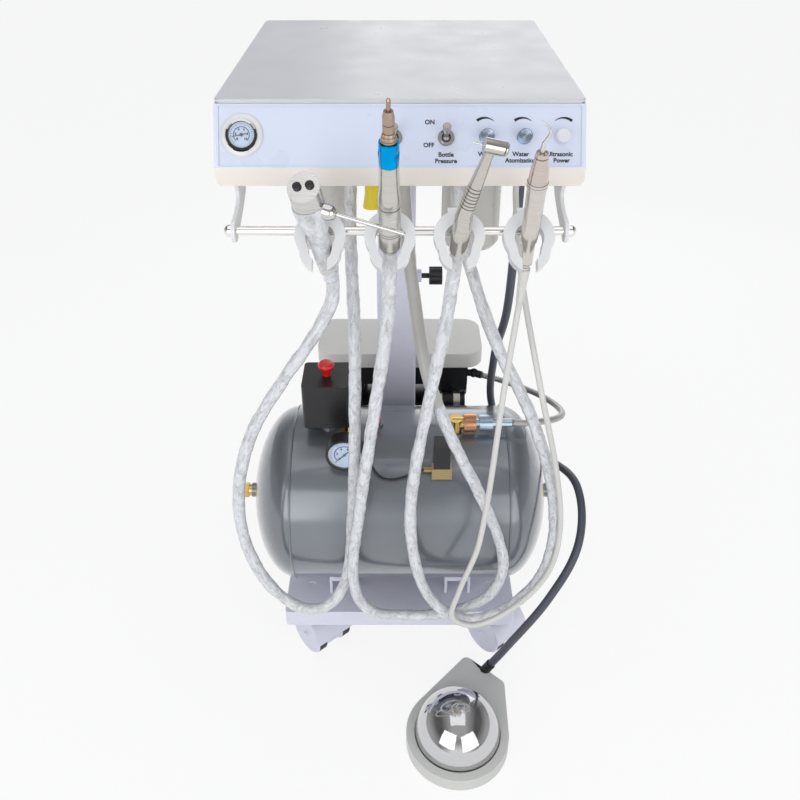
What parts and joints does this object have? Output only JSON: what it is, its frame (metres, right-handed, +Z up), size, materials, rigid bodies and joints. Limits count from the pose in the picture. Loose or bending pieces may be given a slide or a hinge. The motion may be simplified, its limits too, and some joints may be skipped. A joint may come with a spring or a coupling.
{
  "type": "portable dental unit",
  "caption": "Portable dental unit on casters: air tank and compressor on a tray, control box on a column, hanging handpieces on hoses and a foot pedal.",
  "frame": {"origin": "on the floor, midway across the cart and midway from the foot pedal's front to the tray's back", "axes": "+Z up, +X to the right as seen from the front, +Y from the front to the back"},
  "size_m": [0.516, 0.648, 0.9408],
  "materials": {
    "white_coat": "satin",
    "lavender_coat": "satin",
    "grey_coat": "gloss",
    "black_coat": "satin",
    "chrome": "polished",
    "steel": "satin",
    "brass": "satin",
    "black_plastic": "matt",
    "white_plastic": "gloss",
    "beige_plastic": "satin",
    "red_plastic": "gloss",
    "blue_anodised": "satin",
    "hose_wrap": "satin",
    "dark_hose": "satin",
    "braid": "woven",
    "wheel_rubber": "matt",
    "pedal_plastic": "satin",
    "needle_paint": "matt"
  },
  "bodies": {
    "cart": {"base_tray": "lavender_coat", "air_tank": "grey_coat", "tank_fittings": "brass", "compressor_pump": "black_coat", "compressor_hood": "beige_plastic", "start_capacitor": "black_plastic", "column_lower": "lavender_coat", "hose_pedal": "dark_hose", "hose_braided": "braid", "pressure_switch": "black_plastic", "tank_gauge": "black_plastic", "solenoid_valve": "brass", "pedal_base": "pedal_plastic"},
    "head": {"column_upper": "lavender_coat", "box_shell": "white_coat", "box_lid": "white_coat", "front_panel": "white_coat", "panel_gauge": "black_plastic", "toggle_bushes": "chrome", "rod_brackets": "white_coat", "holder_rod": "chrome", "instrument_holders": "white_plastic", "hose_syringe": "hose_wrap", "hose_lowspeed": "hose_wrap", "hose_highspeed": "hose_wrap", "cable_scaler": "hose_wrap", "bottles": "beige_plastic", "valve_manifold": "steel"},
    "height_knob": {"height_knob": "black_plastic"},
    "gauge_needle": {"gauge_needle": "needle_paint"},
    "tank_gauge_needle": {"tank_gauge_needle": "needle_paint"},
    "bottle_lever": {"bottle_lever": "steel"},
    "power_lever": {"power_lever": "steel"},
    "knob_water": {"knob_water": "chrome"},
    "knob_atomization": {"knob_atomization": "chrome"},
    "knob_ultrasonic": {"knob_ultrasonic": "white_plastic"},
    "syringe": {"syringe_body": "chrome"},
    "syringe_nozzle": {"syringe_nozzle": "chrome"},
    "syringe_air_button": {"syringe_air_button": "black_plastic"},
    "syringe_water_button": {"syringe_water_button": "black_plastic"},
    "lowspeed_motor": {"lowspeed_motor": "steel"},
    "lowspeed_nose": {"lowspeed_nose": "steel"},
    "lowspeed_lock_ring": {"lowspeed_lock_ring": "blue_anodised"},
    "lowspeed_bur": {"lowspeed_bur": "steel"},
    "highspeed": {"highspeed_body": "chrome"},
    "highspeed_button": {"highspeed_button": "chrome"},
    "highspeed_bur": {"highspeed_bur": "steel"},
    "scaler": {"scaler_body": "steel", "scaler_tip": "steel"},
    "compressor_fan": {"compressor_fan": "black_plastic"},
    "pressure_knob": {"pressure_knob": "red_plastic"},
    "pedal_cap": {"pedal_cap": "chrome"},
    "caster_fork_1": {"caster_fork_1": "lavender_coat"},
    "caster_wheels_1": {"caster_wheels_1": "wheel_rubber"},
    "caster_fork_2": {"caster_fork_2": "lavender_coat"},
    "caster_wheels_2": {"caster_wheels_2": "wheel_rubber"},
    "caster_fork_3": {"caster_fork_3": "lavender_coat"},
    "caster_wheels_3": {"caster_wheels_3": "wheel_rubber"},
    "caster_fork_4": {"caster_fork_4": "lavender_coat"},
    "caster_wheels_4": {"caster_wheels_4": "wheel_rubber"}
  },
  "joints": [
    {"name": "column_height", "type": "slide", "parent": "cart", "child": "head", "axis": [0, 0, 1], "range_m": [0, 0.08]},
    {"name": "height_knob_turn", "type": "hinge", "parent": "cart", "child": "height_knob", "pos_m": [0.035, 0.158, 0.551], "axis": [1, 0, 0], "continuous": true},
    {"name": "gauge_needle_swing", "type": "hinge", "parent": "head", "child": "gauge_needle", "pos_m": [-0.17, -0.12372, 0.86675], "axis": [0, -0.8915, 0.4531], "range_deg": [-237, 33]},
    {"name": "tank_gauge_needle_swing", "type": "hinge", "parent": "cart", "child": "tank_gauge_needle", "pos_m": [-0.076, -0.101, 0.407], "axis": [0, -1, 0], "range_deg": [-270, 0]},
    {"name": "bottle_lever_flip", "type": "hinge", "parent": "head", "child": "bottle_lever", "pos_m": [0.0495, -0.12232, 0.86267], "axis": [1, 0, 0], "range_deg": [0, 48]},
    {"name": "power_lever_flip", "type": "hinge", "parent": "head", "child": "power_lever", "pos_m": [-0.0065, -0.12232, 0.86267], "axis": [1, 0, 0], "range_deg": [0, 48]},
    {"name": "knob_water_turn", "type": "hinge", "parent": "head", "child": "knob_water", "pos_m": [0.093, -0.12641, 0.86587], "axis": [0, -0.8915, 0.4531], "range_deg": [-135, 135]},
    {"name": "knob_atomization_turn", "type": "hinge", "parent": "head", "child": "knob_atomization", "pos_m": [0.1335, -0.12641, 0.86587], "axis": [0, -0.8915, 0.4531], "range_deg": [-135, 135]},
    {"name": "knob_ultrasonic_turn", "type": "hinge", "parent": "head", "child": "knob_ultrasonic", "pos_m": [0.174, -0.12641, 0.86587], "axis": [0, -0.8915, 0.4531], "range_deg": [-135, 135]},
    {"name": "syringe_lift", "type": "slide", "parent": "head", "child": "syringe", "axis": [-0.1564, -0.3052, 0.9393], "range_m": [0, 0.1]},
    {"name": "syringe_nozzle_turn", "type": "hinge", "parent": "syringe", "child": "syringe_nozzle", "pos_m": [-0.09182, -0.20726, 0.81897], "axis": [0.9528, -0.2342, -0.193], "continuous": true},
    {"name": "syringe_air_press", "type": "slide", "parent": "syringe", "child": "syringe_air_button", "axis": [0.147, 0.6121, -0.777], "range_m": [0, 0.0025], "stiffness_N_per_m": 300, "springref_m": -0.002},
    {"name": "syringe_water_press", "type": "slide", "parent": "syringe", "child": "syringe_water_button", "axis": [0.147, 0.6121, -0.777], "range_m": [0, 0.0025], "stiffness_N_per_m": 300, "springref_m": -0.002},
    {"name": "lowspeed_lift", "type": "slide", "parent": "head", "child": "lowspeed_motor", "axis": [0, -0.309, 0.9511], "range_m": [0, 0.1]},
    {"name": "lowspeed_nose_turn", "type": "hinge", "parent": "lowspeed_motor", "child": "lowspeed_nose", "pos_m": [-0.0107, -0.2229, 0.86711], "axis": [0, -0.309, 0.9511], "continuous": true},
    {"name": "lowspeed_lock_turn", "type": "hinge", "parent": "lowspeed_nose", "child": "lowspeed_lock_ring", "pos_m": [-0.0107, -0.2229, 0.86711], "axis": [0, -0.309, 0.9511], "range_deg": [0, 45]},
    {"name": "lowspeed_bur_spin", "type": "hinge", "parent": "lowspeed_nose", "child": "lowspeed_bur", "pos_m": [-0.0107, -0.2229, 0.86711], "axis": [0, -0.309, 0.9511], "continuous": true},
    {"name": "highspeed_lift", "type": "slide", "parent": "head", "child": "highspeed", "axis": [0.0872, -0.3078, 0.9474], "range_m": [0, 0.1]},
    {"name": "highspeed_chuck_press", "type": "slide", "parent": "highspeed", "child": "highspeed_button", "axis": [-0.9703, -0.0748, 0.2301], "range_m": [0, 0.001], "stiffness_N_per_m": 800, "springref_m": -0.001},
    {"name": "highspeed_bur_spin", "type": "hinge", "parent": "highspeed", "child": "highspeed_bur", "pos_m": [0.08907, -0.23025, 0.88972], "axis": [0.9703, 0.0748, -0.2301], "continuous": true},
    {"name": "scaler_lift", "type": "slide", "parent": "head", "child": "scaler", "axis": [0, -0.309, 0.9511], "range_m": [0, 0.1]},
    {"name": "compressor_fan_spin", "type": "hinge", "parent": "cart", "child": "compressor_fan", "pos_m": [0, 0.253, 0.2165], "axis": [1, 0, 0], "continuous": true},
    {"name": "pressure_knob_press", "type": "slide", "parent": "cart", "child": "pressure_knob", "axis": [0, 0, -1], "range_m": [0, 0.005]},
    {"name": "pedal_press", "type": "slide", "parent": "cart", "child": "pedal_cap", "axis": [0, 0, -1], "range_m": [0, 0.006], "stiffness_N_per_m": 2000, "springref_m": -0.005},
    {"name": "caster_1_swivel", "type": "hinge", "parent": "cart", "child": "caster_fork_1", "pos_m": [-0.14, -0.051, 0.09], "axis": [0, 0, 1], "continuous": true},
    {"name": "caster_1_roll", "type": "hinge", "parent": "caster_fork_1", "child": "caster_wheels_1", "pos_m": [-0.12586, -0.06785, 0.035], "axis": [0.766, 0.6428, 0], "continuous": true},
    {"name": "caster_2_swivel", "type": "hinge", "parent": "cart", "child": "caster_fork_2", "pos_m": [0.14, -0.051, 0.09], "axis": [0, 0, 1], "continuous": true},
    {"name": "caster_2_roll", "type": "hinge", "parent": "caster_fork_2", "child": "caster_wheels_2", "pos_m": [0.15414, -0.06785, 0.035], "axis": [0.766, 0.6428, 0], "continuous": true},
    {"name": "caster_3_swivel", "type": "hinge", "parent": "cart", "child": "caster_fork_3", "pos_m": [-0.14, 0.269, 0.09], "axis": [0, 0, 1], "continuous": true},
    {"name": "caster_3_roll", "type": "hinge", "parent": "caster_fork_3", "child": "caster_wheels_3", "pos_m": [-0.12586, 0.25215, 0.035], "axis": [0.766, 0.6428, 0], "continuous": true},
    {"name": "caster_4_swivel", "type": "hinge", "parent": "cart", "child": "caster_fork_4", "pos_m": [0.14, 0.269, 0.09], "axis": [0, 0, 1], "continuous": true},
    {"name": "caster_4_roll", "type": "hinge", "parent": "caster_fork_4", "child": "caster_wheels_4", "pos_m": [0.15414, 0.25215, 0.035], "axis": [0.766, 0.6428, 0], "continuous": true}
  ]
}
